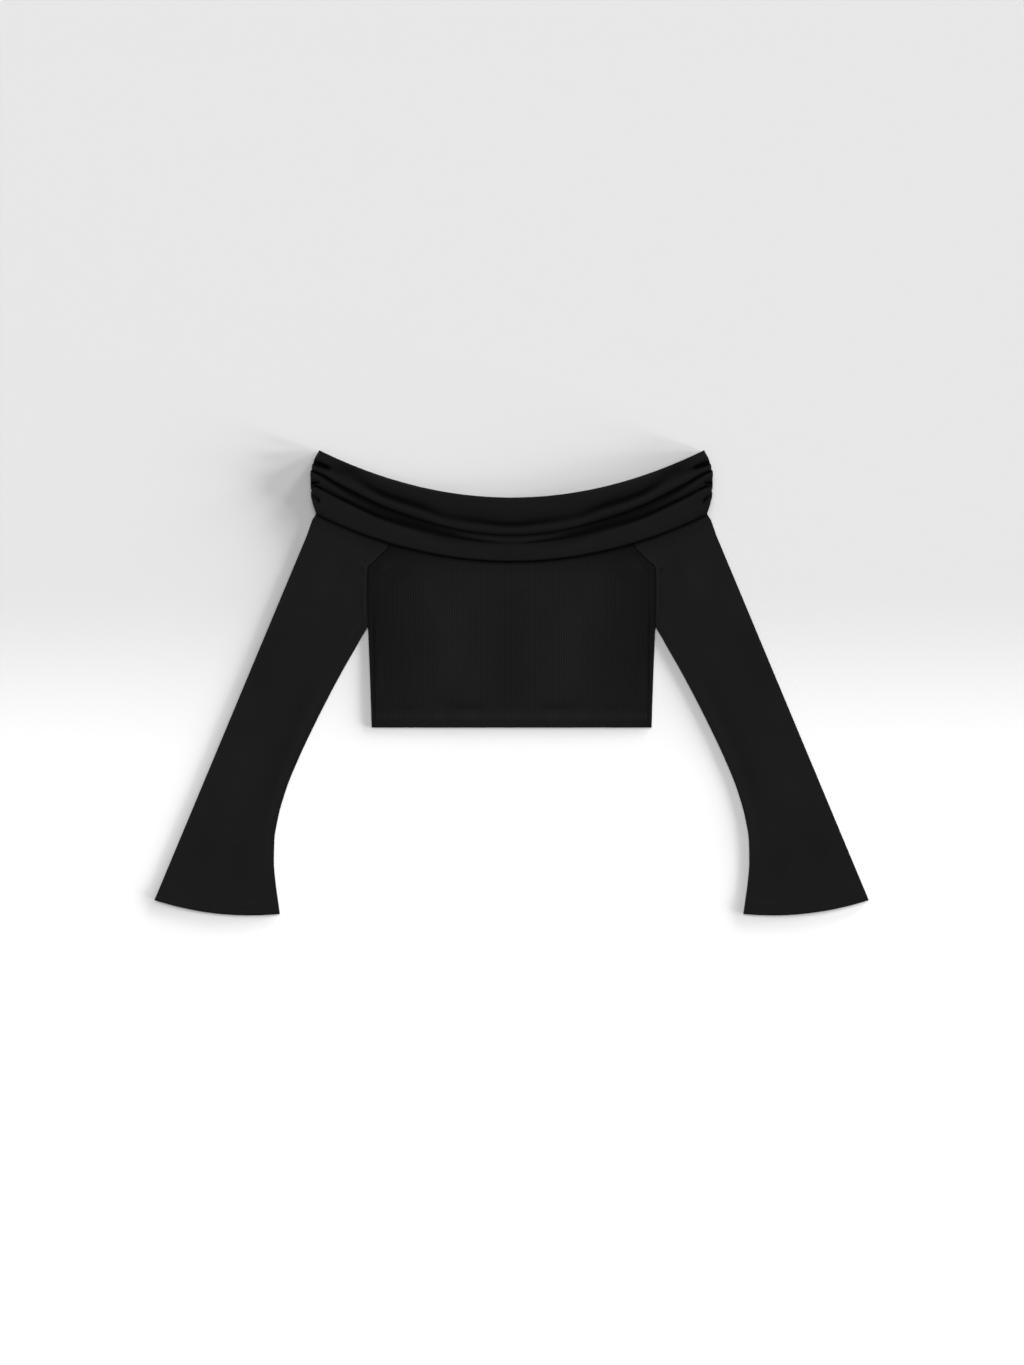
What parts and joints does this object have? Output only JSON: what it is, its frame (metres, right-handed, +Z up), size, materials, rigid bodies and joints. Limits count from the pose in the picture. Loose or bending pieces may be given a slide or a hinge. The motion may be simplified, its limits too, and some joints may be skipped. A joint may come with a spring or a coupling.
{
  "type": "off-shoulder top",
  "caption": "Off-shoulder long-sleeved cropped top in fine black rib jersey with a draped fold-over collar, lying flat, front up.",
  "frame": {"origin": "on the surface the top lies on, at the middle of its outline", "axes": "+X across the chest towards the wearer's left sleeve, +Y from the hem to the neckline, +Z up from the surface"},
  "size_m": [0.9284, 0.6044, 0.0137],
  "materials": {
    "jersey": "matt fine rib jersey"
  },
  "bodies": {
    "root": {"back_panel": "jersey", "front_panel": "jersey", "sleeve_left": "jersey", "sleeve_right": "jersey", "collar_front": "jersey", "collar_back": "jersey"}
  },
  "joints": []
}
